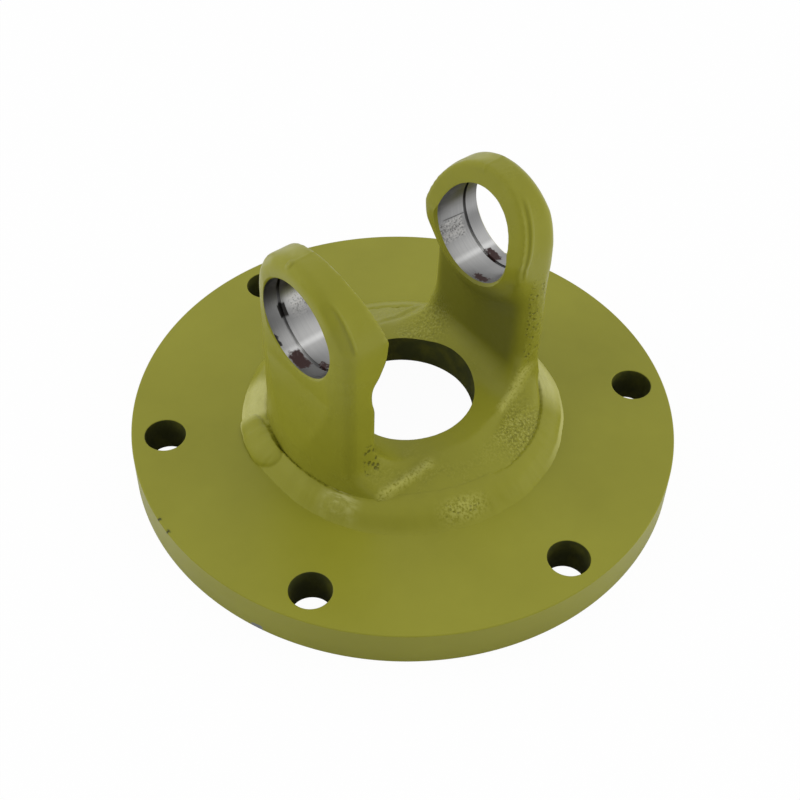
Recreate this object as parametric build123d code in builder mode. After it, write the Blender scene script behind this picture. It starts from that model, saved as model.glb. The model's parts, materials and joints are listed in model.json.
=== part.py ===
"""Flange yoke of a drive shaft: a drilled steel disc with a two-eared forged yoke welded on top.

Frame: millimetres, +Z up, origin at the centre of the disc's lower mounting face.
X is the common axis of the two bearing bores, so the ears stand at +X and -X.
The disc, the yoke and the weld bead are three separate pieces that touch face to face.
"""
import os

from build123d import *

os.makedirs("parts", exist_ok=True)

# Flange disc: turned plate, drilled on one bolt circle, bored in the middle.
FLANGE_RADIUS = 90.0
FLANGE_THICKNESS = 13.4
PILOT_RADIUS = 38.0
BOLT_COUNT = 6
BOLT_EDGE_DISTANCE = 11.0
BOLT_HOLE_RADIUS = 6.6
FIRST_BOLT_ANGLE = 30.0
FLANGE_TOP_EDGE = 0.5
FLANGE_FOOT_EDGE = 0.8
HOLE_EDGE = 0.4

# Hub of the yoke: a round foot with a coned shoulder, bored through the middle.
HUB_RADIUS = 45.4
HUB_SHOULDER_HEIGHT = 5.4
WEB_HEIGHT = 10.6
WEB_FLAT_RADIUS = 30.0
WEB_BORE_RADIUS = 23.2
WEB_BORE_EDGE = 0.8

# Bearing bores: one axis through both ears.
BORE_AXIS_HEIGHT = 75.0
BORE_RADIUS = 16.0
GROOVE_DEPTH = 0.9
GROOVE_WIDTH = 1.6
GROOVE_SETBACK = 5.7
EYE_RADIUS = 22.5
EYE_FACING = 2.8
CROWN_ROUNDING = 5.2
CROWN_EASE = 0.3
BORE_INNER_EDGE = 1.0
BORE_OUTER_EDGE = 0.5
BEVEL_TOP_DEPTH = 7.6
BOSS_HEIGHT = 4.7
BOSS_RUNOUT = 3.4
BOSS_EDGE = 0.6

# Shanks between the hub and the eyes.
SHANK_SETBACK = 0.2
SHANK_THICKNESS = 15.9
INNER_EDGE_ROUNDING = 2.5
ROOT_RADIUS = 11.0
FLARE_RADIUS = 8.5
LIP_DROP = 2.2
SHANK_EDGE_ROUNDING = 5.0
SHANK_FOOT_HEIGHT = 28.0
SHANK_NECK_HEIGHT = 55.0

# Weld bead: a convex fillet all round the hub's foot, with one start and stop lump.
WELD_LEG = 8.0
WELD_RISE = 5.2
WELD_CROWN = 1.2
WELD_EASE = 2.0
LUMP_ANGLE = 161.0
LUMP_SETBACK = 4.1
LUMP_LENGTH = 17.0
LUMP_WIDTH = 10.0
LUMP_LIFT = 0.9

# How far a cutting outline runs past the metal that it trims, and how near an edge lies to its place.
CLEAR = 10.0
NEAR = 1.0
TOUCH = 0.01

# Heights and radii that follow from the values above.
SEAT = FLANGE_THICKNESS
BOLT_CIRCLE_RADIUS = FLANGE_RADIUS - BOLT_EDGE_DISTANCE
WEB_TOP = SEAT + WEB_HEIGHT
SHOULDER_TOP = SEAT + HUB_SHOULDER_HEIGHT
EYE_TOP = BORE_AXIS_HEIGHT + EYE_RADIUS
SHANK_OUTER_RADIUS = HUB_RADIUS - SHANK_SETBACK
SHANK_INNER_FACE = SHANK_OUTER_RADIUS - SHANK_THICKNESS
EYE_OUTER_FACE = SHANK_OUTER_RADIUS - EYE_FACING
EYE_INNER_FACE = SHANK_INNER_FACE - BOSS_HEIGHT
GROOVE_RADIUS = BORE_RADIUS + GROOVE_DEPTH
GROOVE_CENTRE = EYE_OUTER_FACE - GROOVE_SETBACK
LIP_HEIGHT = WEB_TOP - LIP_DROP
FLARE_TOP = LIP_HEIGHT + FLARE_RADIUS
LIP_HALF_WIDTH = EYE_RADIUS + FLARE_RADIUS
WELD_TOE_RADIUS = HUB_RADIUS + WELD_LEG
REACH = HUB_RADIUS + CLEAR


def plan_radius(point):
    """Distance of a point from the Z axis, seen from above."""
    return (point.X**2 + point.Y**2) ** 0.5


def bore_distance(point):
    """Distance of a point from the axis of the bearing bores."""
    return (point.Y**2 + (point.Z - BORE_AXIS_HEIGHT) ** 2) ** 0.5


# The disc is one turned ring with its bolt holes and softened edges.
with BuildPart() as flange_disc:
    with BuildSketch():
        Circle(FLANGE_RADIUS)
        Circle(PILOT_RADIUS, mode=Mode.SUBTRACT)
    extrude(amount=FLANGE_THICKNESS)
    rims = flange_disc.edges().filter_by(GeomType.CIRCLE).group_by(SortBy.RADIUS)[-1]
    chamfer(rims.sort_by(Axis.Z)[-1], FLANGE_TOP_EDGE)
    chamfer(rims.sort_by(Axis.Z)[0], FLANGE_FOOT_EDGE)
    with Locations((0, 0, FLANGE_THICKNESS)):
        with PolarLocations(BOLT_CIRCLE_RADIUS, BOLT_COUNT, start_angle=FIRST_BOLT_ANGLE):
            Hole(BOLT_HOLE_RADIUS, depth=FLANGE_THICKNESS)
    hole_edges = flange_disc.edges().filter_by(GeomType.CIRCLE).group_by(SortBy.RADIUS)[0]
    chamfer(hole_edges.group_by(Axis.Z)[-1], HOLE_EDGE)
flange_disc.part.label = "flange_disc"


# Both shanks: the U-shaped front outline met by the flared side outline and the turned outside.
with BuildPart() as shanks:
    with BuildSketch(Plane.XZ):
        with BuildLine():
            Polyline(
                (-REACH, SEAT),
                (REACH, SEAT),
                (REACH, EYE_TOP + CLEAR),
                (SHANK_INNER_FACE, EYE_TOP + CLEAR),
                (SHANK_INNER_FACE, WEB_TOP),
                (-SHANK_INNER_FACE, WEB_TOP),
                (-SHANK_INNER_FACE, EYE_TOP + CLEAR),
                (-REACH, EYE_TOP + CLEAR),
                close=True,
            )
        make_face()
        fillet(vertices().filter_by_position(Axis.Y, WEB_TOP - NEAR, WEB_TOP + NEAR), ROOT_RADIUS)
    extrude(amount=REACH, both=True)

    with BuildSketch(Plane.YZ):
        with BuildLine():
            Polyline(
                (-LIP_HALF_WIDTH, LIP_HEIGHT),
                (-LIP_HALF_WIDTH, SEAT),
                (LIP_HALF_WIDTH, SEAT),
                (LIP_HALF_WIDTH, LIP_HEIGHT),
            )
            CenterArc((LIP_HALF_WIDTH, FLARE_TOP), FLARE_RADIUS, 180, 90)
            Polyline(
                (EYE_RADIUS, FLARE_TOP),
                (EYE_RADIUS, BORE_AXIS_HEIGHT),
                (-EYE_RADIUS, BORE_AXIS_HEIGHT),
                (-EYE_RADIUS, FLARE_TOP),
            )
            CenterArc((-LIP_HALF_WIDTH, FLARE_TOP), FLARE_RADIUS, 270, 90)
        make_face()
        with Locations((0, BORE_AXIS_HEIGHT)):
            Circle(EYE_RADIUS)
    extrude(amount=REACH, both=True, mode=Mode.INTERSECT)

    with BuildSketch():
        Circle(SHANK_OUTER_RADIUS)
    extrude(amount=EYE_TOP + CLEAR, mode=Mode.INTERSECT)

    # Forged edges: full on the turned outside, tighter towards the gap.
    upright = shanks.edges().filter_by_position(Axis.Z, FLARE_TOP, EYE_TOP + NEAR)
    fillet([e for e in upright if abs(plan_radius(e @ 0.3) - SHANK_OUTER_RADIUS) < TOUCH], SHANK_EDGE_ROUNDING)
    upright = shanks.edges().filter_by(GeomType.LINE).filter_by(Axis.Z)
    fillet([e for e in upright if abs(abs((e @ 0.3).X) - SHANK_INNER_FACE) < TOUCH], INNER_EDGE_ROUNDING)


# Bosses round the bearing bores: each reaches into the gap and slopes back to its shank all round.
with BuildPart() as bosses:
    with BuildSketch(Plane.XZ):
        with BuildLine():
            Polyline(
                (EYE_INNER_FACE, BORE_AXIS_HEIGHT),
                (EYE_INNER_FACE, EYE_TOP),
                (SHANK_INNER_FACE - BOSS_RUNOUT, EYE_TOP),
                (SHANK_INNER_FACE, EYE_TOP + BOSS_RUNOUT),
                (SHANK_INNER_FACE + INNER_EDGE_ROUNDING, EYE_TOP + BOSS_RUNOUT),
                (SHANK_INNER_FACE + INNER_EDGE_ROUNDING, BORE_AXIS_HEIGHT),
                close=True,
            )
        make_face()
        chamfer(vertices().group_by(Axis.X)[0].sort_by(Axis.Y)[-1], BOSS_EDGE)
    revolve(axis=Axis((0, 0, BORE_AXIS_HEIGHT), (1, 0, 0)))
    mirror(about=Plane.YZ)
    with BuildSketch(Plane.YZ):
        with Locations((0, BORE_AXIS_HEIGHT)):
            Circle(EYE_RADIUS)
        with Locations((0, BORE_AXIS_HEIGHT)):
            Rectangle(2 * EYE_RADIUS, 2 * EYE_RADIUS, align=(Align.CENTER, Align.MAX))
    extrude(amount=REACH, both=True, mode=Mode.INTERSECT)


# Ring-shaped cutters that round the crown of each eye over to its outer face.
with BuildPart() as crown_cutters:
    with BuildSketch(Plane.XZ):
        with Locations((EYE_OUTER_FACE - CROWN_ROUNDING, EYE_TOP - CROWN_ROUNDING)):
            Rectangle(CROWN_ROUNDING + CLEAR, CROWN_ROUNDING + CLEAR, align=(Align.MIN, Align.MIN))
            Circle(CROWN_ROUNDING + CROWN_EASE, mode=Mode.SUBTRACT)
    revolve(axis=Axis((0, 0, BORE_AXIS_HEIGHT), (1, 0, 0)))
    split(bisect_by=Plane.XY.offset(BORE_AXIS_HEIGHT), keep=Keep.TOP)
    mirror(about=Plane.YZ)


# The forging: hub and web with the shanks and bosses grown on, then bored and faced.
with BuildPart() as yoke_forging:
    with BuildSketch(Plane.XZ):
        with BuildLine():
            Polyline(
                (0, SEAT),
                (HUB_RADIUS, SEAT),
                (HUB_RADIUS, SHOULDER_TOP),
                (WEB_FLAT_RADIUS, WEB_TOP),
                (0, WEB_TOP),
                close=True,
            )
        make_face()
    revolve(axis=Axis.Z)
    add(shanks.part)
    add(bosses.part)

    # Flat outer faces, and inner faces that lean back above the bore axis.
    for side in (-1, 1):
        with BuildSketch(Plane.XZ):
            with BuildLine():
                Polyline(
                    (side * EYE_OUTER_FACE, EYE_TOP + CLEAR),
                    (side * EYE_OUTER_FACE, SHANK_NECK_HEIGHT),
                    (side * SHANK_OUTER_RADIUS, SHANK_FOOT_HEIGHT),
                    (side * REACH, SHANK_FOOT_HEIGHT),
                    (side * REACH, EYE_TOP + CLEAR),
                    close=True,
                )
            make_face()
            with BuildLine():
                Polyline(
                    (side * EYE_INNER_FACE, BORE_AXIS_HEIGHT),
                    (side * (EYE_INNER_FACE + BEVEL_TOP_DEPTH), EYE_TOP),
                    (side * (EYE_INNER_FACE + BEVEL_TOP_DEPTH), EYE_TOP + CLEAR),
                    (side * (EYE_INNER_FACE - CLEAR), EYE_TOP + CLEAR),
                    (side * (EYE_INNER_FACE - CLEAR), BORE_AXIS_HEIGHT),
                    close=True,
                )
            make_face()
        extrude(amount=REACH, both=True, mode=Mode.SUBTRACT)

    # The crown of each eye is rounded over towards its outer face.
    add(crown_cutters.part, mode=Mode.SUBTRACT)

    # Web bore, bearing bores and the snap-ring grooves turned inside them.
    Cylinder(WEB_BORE_RADIUS, 2 * REACH, mode=Mode.SUBTRACT)
    with Locations(Pos(0, 0, BORE_AXIS_HEIGHT) * Rot(0, 90, 0)):
        Cylinder(BORE_RADIUS, 2 * REACH, mode=Mode.SUBTRACT)
    for side in (-1, 1):
        with Locations(Pos(side * GROOVE_CENTRE, 0, BORE_AXIS_HEIGHT) * Rot(0, 90, 0)):
            Cylinder(GROOVE_RADIUS, GROOVE_WIDTH, mode=Mode.SUBTRACT)

    # Edge breaks: the mouths of the bearing bores and the rim of the web bore.
    with BuildSketch(Plane.XZ):
        for side in (-1, 1):
            with BuildLine():
                Polyline(
                    (side * (EYE_OUTER_FACE - BORE_OUTER_EDGE), BORE_AXIS_HEIGHT),
                    (side * (EYE_OUTER_FACE - BORE_OUTER_EDGE), BORE_AXIS_HEIGHT + BORE_RADIUS),
                    (side * (EYE_OUTER_FACE + NEAR), BORE_AXIS_HEIGHT + BORE_RADIUS + BORE_OUTER_EDGE + NEAR),
                    (side * (EYE_OUTER_FACE + NEAR), BORE_AXIS_HEIGHT),
                    close=True,
                )
            make_face()
    revolve(axis=Axis((0, 0, BORE_AXIS_HEIGHT), (1, 0, 0)), mode=Mode.SUBTRACT)
    bore_edges = [e for e in yoke_forging.edges() if abs(bore_distance(e @ 0.5) - BORE_RADIUS) < TOUCH]
    inner_mouths = [e for e in bore_edges if abs((e @ 0.5).X) < SHANK_INNER_FACE]
    chamfer([e for e in inner_mouths if e.geom_type != GeomType.LINE], BORE_INNER_EDGE)
    web_rims = [e for e in yoke_forging.edges() if abs(plan_radius(e @ 0.5) - WEB_BORE_RADIUS) < TOUCH]
    chamfer([e for e in web_rims if e.geom_type != GeomType.LINE and (e @ 0.5).Z < SEAT + NEAR], WEB_BORE_EDGE)
yoke_forging.part.label = "yoke_forging"


# The weld bead: a convex fillet round the foot of the hub, in flats, thicker where it starts and stops.
lump_plane = Plane.XY.offset(SEAT + LUMP_LIFT).rotated((0, 0, LUMP_ANGLE + 90))
lump_plane = lump_plane.shift_origin(lump_plane.from_local_coords((0, -HUB_RADIUS - LUMP_SETBACK, 0)))
with BuildPart() as weld_bead:
    with BuildSketch(Plane.XZ):
        with BuildLine():
            Polyline(
                (HUB_RADIUS, SEAT + WELD_RISE),
                (HUB_RADIUS, SEAT),
                (WELD_TOE_RADIUS, SEAT),
                (HUB_RADIUS + WELD_LEG / 2 + WELD_CROWN, SEAT + WELD_RISE / 2 + WELD_CROWN),
                close=True,
            )
        make_face()
        chamfer(vertices().sort_by(lambda v: v.X + v.Y)[-1], WELD_EASE)
    revolve(axis=Axis.Z)
    with BuildSketch(lump_plane):
        with BuildLine():
            Polyline(
                (-LUMP_LENGTH / 2, 0),
                (-LUMP_LENGTH / 3, LUMP_WIDTH / 3),
                (-LUMP_LENGTH / 6, LUMP_WIDTH / 2),
                (LUMP_LENGTH / 6, LUMP_WIDTH / 2),
                (LUMP_LENGTH / 3, LUMP_WIDTH / 3),
                (LUMP_LENGTH / 2, 0),
                close=True,
            )
        make_face()
    revolve(axis=Axis(lump_plane.origin, lump_plane.x_dir))
    with BuildSketch(Plane.XY.offset(SEAT)):
        Circle(WELD_TOE_RADIUS + CLEAR)
        Circle(HUB_RADIUS, mode=Mode.SUBTRACT)
    extrude(amount=CLEAR, mode=Mode.INTERSECT)
weld_bead.part.label = "weld_bead"


export_step(flange_disc.part, "parts/flange_disc.step")
export_step(yoke_forging.part, "parts/yoke_forging.step")
export_step(weld_bead.part, "parts/weld_bead.step")
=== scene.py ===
# %% [markdown]
# # A flange yoke, dressed in Blender
#
# The object is the end of a drive shaft: a drilled steel disc with a forged fork welded on top. The CAD
# frame gives the three pieces at their real size. This script gives them what a drawing leaves out: the
# soft skin of a hammered forging, a hand-laid weld, thick olive enamel and two bright bored seats.
#
# Everything is in metres, in the frame's own axes, so each new piece is modelled where it belongs.

import json
import math

import bpy
import numpy as np
from mathutils import Matrix, Vector, noise


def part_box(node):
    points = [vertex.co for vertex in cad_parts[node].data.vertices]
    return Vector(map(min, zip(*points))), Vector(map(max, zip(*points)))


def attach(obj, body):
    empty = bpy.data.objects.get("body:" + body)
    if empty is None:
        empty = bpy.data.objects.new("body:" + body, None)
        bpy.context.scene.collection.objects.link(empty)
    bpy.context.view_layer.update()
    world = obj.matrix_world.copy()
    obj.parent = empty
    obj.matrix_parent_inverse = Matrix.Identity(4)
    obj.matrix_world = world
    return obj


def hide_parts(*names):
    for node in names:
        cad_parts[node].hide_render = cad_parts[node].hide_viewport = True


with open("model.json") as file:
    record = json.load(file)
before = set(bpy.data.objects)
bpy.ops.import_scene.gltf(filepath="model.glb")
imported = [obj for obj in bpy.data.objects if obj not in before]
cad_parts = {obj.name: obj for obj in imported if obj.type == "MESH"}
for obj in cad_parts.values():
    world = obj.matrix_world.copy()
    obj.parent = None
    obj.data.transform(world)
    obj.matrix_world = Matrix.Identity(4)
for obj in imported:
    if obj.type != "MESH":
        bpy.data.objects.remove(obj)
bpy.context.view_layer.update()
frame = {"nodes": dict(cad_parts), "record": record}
MM = 0.001
mounts = {mount["name"]: mount for mount in frame["record"]["mounts"]}
print("frame nodes:", sorted(frame["nodes"]))

# %% [markdown]
# ## Sizes
#
# The mounts in the record say where the holes are and how wide, so the modelling reads them from there
# and nothing is typed twice. A few sizes that only the looks need are named here too.

# %% Sizes from the frame
_, DISC_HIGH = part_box("flange_disc")
DISC_RADIUS = DISC_HIGH.x
DISC_TOP = DISC_HIGH.z
_, FORK_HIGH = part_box("yoke_forging")
PILOT_RADIUS = mounts["pilot_bore"]["dims"]["r_mm"] * MM
BOLT_HOLE_RADIUS = mounts["bolt_holes"]["dims"]["hole_r_mm"] * MM
BOLT_CIRCLE_RADIUS = mounts["bolt_holes"]["dims"]["pcd_mm"] * MM / 2
BOLT_COUNT = mounts["bolt_holes"]["dims"]["count"]
FIRST_BOLT_ANGLE = 30
SEAT_RADIUS = mounts["cross_bore"]["dims"]["r_mm"] * MM
SEAT_HEIGHT = mounts["cross_bore"]["pos_m"][2]
EYE_OUTER_FACE = 42.4 * MM
EYE_INNER_FACE = 24.6 * MM
GROOVE_RADIUS = 16.9 * MM
GROOVE_WIDTH = 1.2 * MM
GROOVE_CENTRE = 36.7 * MM
WEB_BORE_RADIUS = 23.2 * MM
print(f"disc {2000 * DISC_RADIUS:.0f} mm across, bearing seats {2000 * SEAT_RADIUS:.0f} mm")
print(f"fork {2000 * FORK_HIGH.x:.1f} mm wide, its crowns {1000 * FORK_HIGH.z:.1f} mm high")

# %% [markdown]
# ## Small tools
#
# Blender's operators act on whatever is selected, so each one starts from nothing selected. `only` does
# that, and the helpers after it are the moves that come back again and again: apply a modifier, cut one
# mesh with another, and push points along their normals the way a sculpting brush does.


# %% Helpers for modelling
def only(piece):
    """Select this piece alone and make it the active one."""
    bpy.ops.object.select_all(action="DESELECT")
    piece.hide_set(False)
    piece.select_set(True)
    bpy.context.view_layer.objects.active = piece
    return piece


def apply_modifier(piece, kind, **settings):
    """Add one modifier with these settings and bake it into the mesh."""
    only(piece)
    modifier = piece.modifiers.new(kind.lower(), kind)
    for key, value in settings.items():
        setattr(modifier, key, value)
    bpy.ops.object.modifier_apply(modifier=modifier.name)
    return piece


def cylinder(radius, depth, centre, vertices):
    """A closed upright cylinder."""
    bpy.ops.object.select_all(action="DESELECT")
    bpy.ops.mesh.primitive_cylinder_add(vertices=vertices, radius=radius, depth=depth, location=centre)
    return bpy.context.object


def set_home(piece):
    """Put a piece's place into its mesh, so that its object sits at the origin."""
    only(piece)
    bpy.ops.object.transform_apply(location=True, rotation=True, scale=True)
    return piece


def joined(pieces):
    """Join several loose meshes into one object."""
    bpy.ops.object.select_all(action="DESELECT")
    for piece in pieces:
        piece.select_set(True)
    bpy.context.view_layer.objects.active = pieces[0]
    bpy.ops.object.join()
    return bpy.context.object


def face_outwards(piece):
    """Turn every face of a closed mesh to the outside."""
    only(piece)
    bpy.ops.object.mode_set(mode="EDIT")
    bpy.ops.mesh.select_all(action="SELECT")
    bpy.ops.mesh.normals_make_consistent(inside=False)
    bpy.ops.object.mode_set(mode="OBJECT")
    return piece


def cut(piece, tool):
    """Take the tool's volume out of the piece, then throw the tool away."""
    apply_modifier(piece, "BOOLEAN", operation="DIFFERENCE", object=tool, solver="EXACT",
                   material_mode="TRANSFER")
    bpy.data.objects.remove(tool)
    return piece


def points_of(piece):
    """All points of a mesh, in millimetres, and the normals there."""
    mesh = piece.data
    places = np.empty(3 * len(mesh.vertices))
    normals = np.empty(3 * len(mesh.vertices))
    mesh.vertices.foreach_get("co", places)
    mesh.vertices.foreach_get("normal", normals)
    return places.reshape(-1, 3) / MM, normals.reshape(-1, 3)


def move_points(piece, places):
    """Write the points back."""
    piece.data.vertices.foreach_set("co", (places * MM).ravel())
    piece.data.update()


def swell(piece, height):
    """Push each point along its normal, like a sculpting brush, by height(x, y, z) millimetres."""
    places, normals = points_of(piece)
    x, y, z = places.T
    move_points(piece, places + normals * height(x, y, z)[:, None])
    return piece


def hump(value, centre, width):
    """A soft hill: 1 at the centre and nearly 0 two widths away."""
    return np.exp(-(((value - centre) / width) ** 2))


def rise(value, low, high):
    """A soft step from 0 at low to 1 at high."""
    share = np.clip((value - low) / (high - low), 0, 1)
    return share * share * (3 - 2 * share)


def lumps(x, y, z, size, seed):
    """Smooth hills and hollows, from -1 to 1, about one size apart."""
    shift = Vector((seed, 2 * seed, 3 * seed))
    return np.array([noise.noise(Vector(p) / size + shift) for p in zip(x, y, z)])


def smooth_by_angle(piece, degrees):
    """Shade smooth, but keep every edge sharp that turns more than this."""
    only(piece)
    bpy.ops.object.shade_smooth_by_angle(angle=math.radians(degrees))
    return piece


# %% [markdown]
# ## Materials by name
#
# The materials are made empty here and filled in once the shapes are done. A boolean hands the cutter's
# material to the faces it cuts, so a drill can paint the wall of its own hole.


# %% Empty materials
def new_material(name):
    """A material with a node tree that is still to be filled."""
    material = bpy.data.materials.new(name)
    material.use_nodes = True
    return material


plate_enamel = new_material("plate_enamel")
forging_enamel = new_material("forging_enamel")
weld_enamel = new_material("weld_enamel")
hole_shade_enamel = new_material("hole_shade_enamel")
bare_steel = new_material("bare_steel")
print("materials:", sorted(material.name for material in bpy.data.materials))

# %% [markdown]
# ## The flange disc
#
# The real disc is turned from plate and drilled, so it is modelled in the same order: a blank, one cut
# for the pilot bore and the six holes, and then a bevel that rounds every edge the way thick enamel
# does. `harden_normals` keeps the flat faces flat when the edges are shaded smooth.


# %% Model the disc
RIM_CORNERS = 360
BORE_CORNERS = 180
BOLT_HOLE_CORNERS = 72
PAINT_ROUNDING = 0.55 * MM
SHARPEST_SMOOTH_EDGE = 50


def make_disc():
    """Turn the blank, drill it and round its edges."""
    blank = cylinder(DISC_RADIUS, DISC_TOP, (0, 0, DISC_TOP / 2), RIM_CORNERS)
    blank.name = "painted_disc"
    set_home(blank)
    blank.data.materials.append(plate_enamel)
    drills = [cylinder(PILOT_RADIUS, 3 * DISC_TOP, (0, 0, 0), BORE_CORNERS)]
    for step in range(BOLT_COUNT):
        turn = math.radians(FIRST_BOLT_ANGLE + step * 360 / BOLT_COUNT)
        centre = (BOLT_CIRCLE_RADIUS * math.cos(turn), BOLT_CIRCLE_RADIUS * math.sin(turn), 0)
        drills.append(cylinder(BOLT_HOLE_RADIUS, 3 * DISC_TOP, centre, BOLT_HOLE_CORNERS))
    drill = set_home(joined(drills))
    drill.data.materials.append(hole_shade_enamel)
    cut(blank, drill)
    only(blank)
    bpy.ops.object.shade_smooth()
    apply_modifier(blank, "BEVEL", width=PAINT_ROUNDING, segments=4, limit_method="ANGLE",
                   angle_limit=math.radians(SHARPEST_SMOOTH_EDGE), harden_normals=True)
    return blank


disc = make_disc()
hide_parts("flange_disc")
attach(disc, "root")
print("disc:", len(disc.data.polygons), "faces")

# %% [markdown]
# ## The raw forging
#
# Hot steel beaten into a die has no crisp edge anywhere. A copy of the CAD fork gets that look in three
# moves: its bores are closed down a little, because the real ones are machined only afterwards, a voxel
# remesh turns the faces into one even skin, and a smoothing pass melts the edges.


# %% Melt the CAD fork into a forging
VOXEL = 0.72 * MM
MELTING_PASSES = 6
SAME_POINT = 0.01 * MM
SEAT_WALL = GROOVE_RADIUS / MM + 0.15
WEB_BORE_WALL = WEB_BORE_RADIUS / MM + 1.0
RAW_SEAT_RADIUS = 15.0
RAW_WEB_BORE_RADIUS = 22.3
ON_AXIS = 0.1


def from_seat_axis(y, z):
    """Distance from the axis that the two bearing seats share."""
    return np.hypot(y, z - SEAT_HEIGHT / MM)


def closed_down(from_axis, wall, raw_radius):
    """The factor that draws a hole's wall in to its raw radius and leaves all other points alone."""
    on_wall = (from_axis < wall) & (from_axis > ON_AXIS)
    return np.where(on_wall, raw_radius / np.maximum(from_axis, ON_AXIS), 1.0)


def make_raw_fork():
    """Copy the CAD fork, close its bores down and melt it."""
    mesh = frame["nodes"]["yoke_forging"].data.copy()
    fork = bpy.data.objects.new("forged_fork", mesh)
    bpy.context.scene.collection.objects.link(fork)
    mesh.materials.clear()
    only(fork)
    bpy.ops.object.mode_set(mode="EDIT")
    bpy.ops.mesh.select_all(action="SELECT")
    bpy.ops.mesh.remove_doubles(threshold=SAME_POINT)
    bpy.ops.object.mode_set(mode="OBJECT")
    places, _ = points_of(fork)
    x, y, z = places.T
    shrink = closed_down(from_seat_axis(y, z), SEAT_WALL, RAW_SEAT_RADIUS)
    y, z = y * shrink, SEAT_HEIGHT / MM + (z - SEAT_HEIGHT / MM) * shrink
    shrink = closed_down(np.hypot(x, y), WEB_BORE_WALL, RAW_WEB_BORE_RADIUS)
    move_points(fork, np.stack([x * shrink, y * shrink, z], axis=1))
    apply_modifier(fork, "REMESH", mode="VOXEL", voxel_size=VOXEL)
    apply_modifier(fork, "SMOOTH", factor=0.5, iterations=MELTING_PASSES)
    return fork


fork = make_raw_fork()
print("raw forging:", len(fork.data.polygons), "faces")

# %% [markdown]
# ## Marks of the die
#
# The die and the trimming leave their own small forms: a wavy skin, undersides drawn back below the
# bosses, rough lips where the web's band drops to the hub's shoulder, and a ridge with a furrow beside it
# round each eye's flank. Each is one term of a height field. Writing them as terms keeps every mark at
# its own place and height, which a brush would not. The shader sharpens the flanks' lines later.
#
# The numbers in a `rise` or a `hump` are places in the frame, in millimetres or degrees.


# %% Terms for the marks
LIP_RUN = [(12.0, 31.0), (20.0, 30.0), (26.0, 29.4), (34.0, 29.2)]
BAND_RUN = [(12.0, 28.4), (18.3, 26.7), (23.7, 25.2), (28.5, 24.1), (31.6, 23.0), (35.0, 22.2)]
LIP_STRENGTH = {(-1, -1): 0.75, (1, -1): 0.0, (-1, 1): 0.5, (1, 1): 0.5}
BAND_STRENGTH = {(-1, -1): 0.0, (1, -1): 0.6, (-1, 1): 0.4, (1, 1): 0.3}
LIP_WIDTH = 1.2
BAND_WIDTH = 1.0
RIDGE_HEIGHT = 0.22
OUTER_FURROW = 0.34
INNER_FURROW = 0.26
OUTER_LINE = 36.9
OUTER_LINE_DRIFT = 0.04
INNER_FACE_LEAN = 0.338


def along_run(x, y, run):
    """Distance in Y from a line that runs over the web, drawn once and mirrored to all four sides."""
    return np.abs(y) - np.interp(np.abs(x), *zip(*run))


def by_quarter(x, y, strength):
    """A strength that differs in each quarter of the plan."""
    out = np.zeros_like(x)
    for (side_x, side_y), value in strength.items():
        out[(x * side_x >= 0) & (y * side_y >= 0)] = value
    return out


def underside(x, y, z):
    """The bosses' undersides, which the worn die draws back."""
    return (rise(np.abs(x), 32, 29) * rise(z, 49, 55) * (1 - rise(z, 58, 63))
            * rise(from_seat_axis(y, z), 17.5, 20.5))


def web_lips(x, y, z):
    """Two rough lips on each side: the outer drop of the web's band, and the band's own edge."""
    out = np.abs(x)
    low_down = (1 - rise(z, 28, 31)) * rise(out, 10, 17)
    lip = by_quarter(x, y, LIP_STRENGTH) * hump(along_run(x, y, LIP_RUN), 0, LIP_WIDTH)
    band = by_quarter(x, y, BAND_STRENGTH) * hump(along_run(x, y, BAND_RUN), 0, BAND_WIDTH)
    crumble = 0.8 + 0.4 * lumps(x, y, z, 1.5, 17.0)
    return (lip * (1 - rise(out, 34, 36)) + band) * low_down * crumble


def flank_ridges(x, y, z):
    """A ridge with a furrow beside it: outside on the left ear's flanks, inside on the right ear's."""
    out = np.abs(x)
    up = z - SEAT_HEIGHT / MM
    from_seat = from_seat_axis(y, z)
    slope = np.degrees(np.arctan2(up, np.abs(y)))
    line = OUTER_LINE + OUTER_LINE_DRIFT * slope
    outer = (1 - rise(slope, 44, 58)) * rise(slope, 6, 16) * rise(from_seat, 19.6, 20.8) * (x < 0)
    outer = outer * (RIDGE_HEIGHT * hump(out, line, 1.3) - OUTER_FURROW * hump(out, line + 1.8, 1.5))
    lean = EYE_INNER_FACE / MM + np.maximum(up, 0) * INNER_FACE_LEAN
    inner = (1 - rise(slope, 44, 62)) * rise(slope, -14, -2) * rise(from_seat, 20.8, 22.0) * (x > 0)
    inner = inner * (RIDGE_HEIGHT * hump(out, lean + 3.3, 1.3) - INNER_FURROW * hump(out, lean + 1.7, 1.3))
    return outer + inner


def full_edge(x, y, z):
    """The right ear's outer edge, which stands a little fuller than the left one's."""
    return rise(x, 37, 41) * rise(-y, 8, 19) * rise(z, 58, 74) * (1 - rise(z, 78, 97))


# %% Sculpt the forging's skin
SKIN_WAVE = 0.13
SKIN_RIPPLE = 0.05
UNDERSIDE_DEPTH = 1.1
FULL_EDGE_HEIGHT = 0.5


def die_marks(x, y, z):
    """Height of the forging's skin above its smooth form, in millimetres."""
    skin = SKIN_WAVE * lumps(x, y, z, 13.0, 1.0) + SKIN_RIPPLE * lumps(x, y, z, 4.0, 5.0)
    return (skin - UNDERSIDE_DEPTH * underside(x, y, z) + web_lips(x, y, z)
            + FULL_EDGE_HEIGHT * full_edge(x, y, z) + flank_ridges(x, y, z))


before, _ = points_of(fork)
swell(fork, die_marks)
after, _ = points_of(fork)
print(f"the deepest or highest mark moves the skin by {np.abs(after - before).max():.2f} mm")

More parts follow.
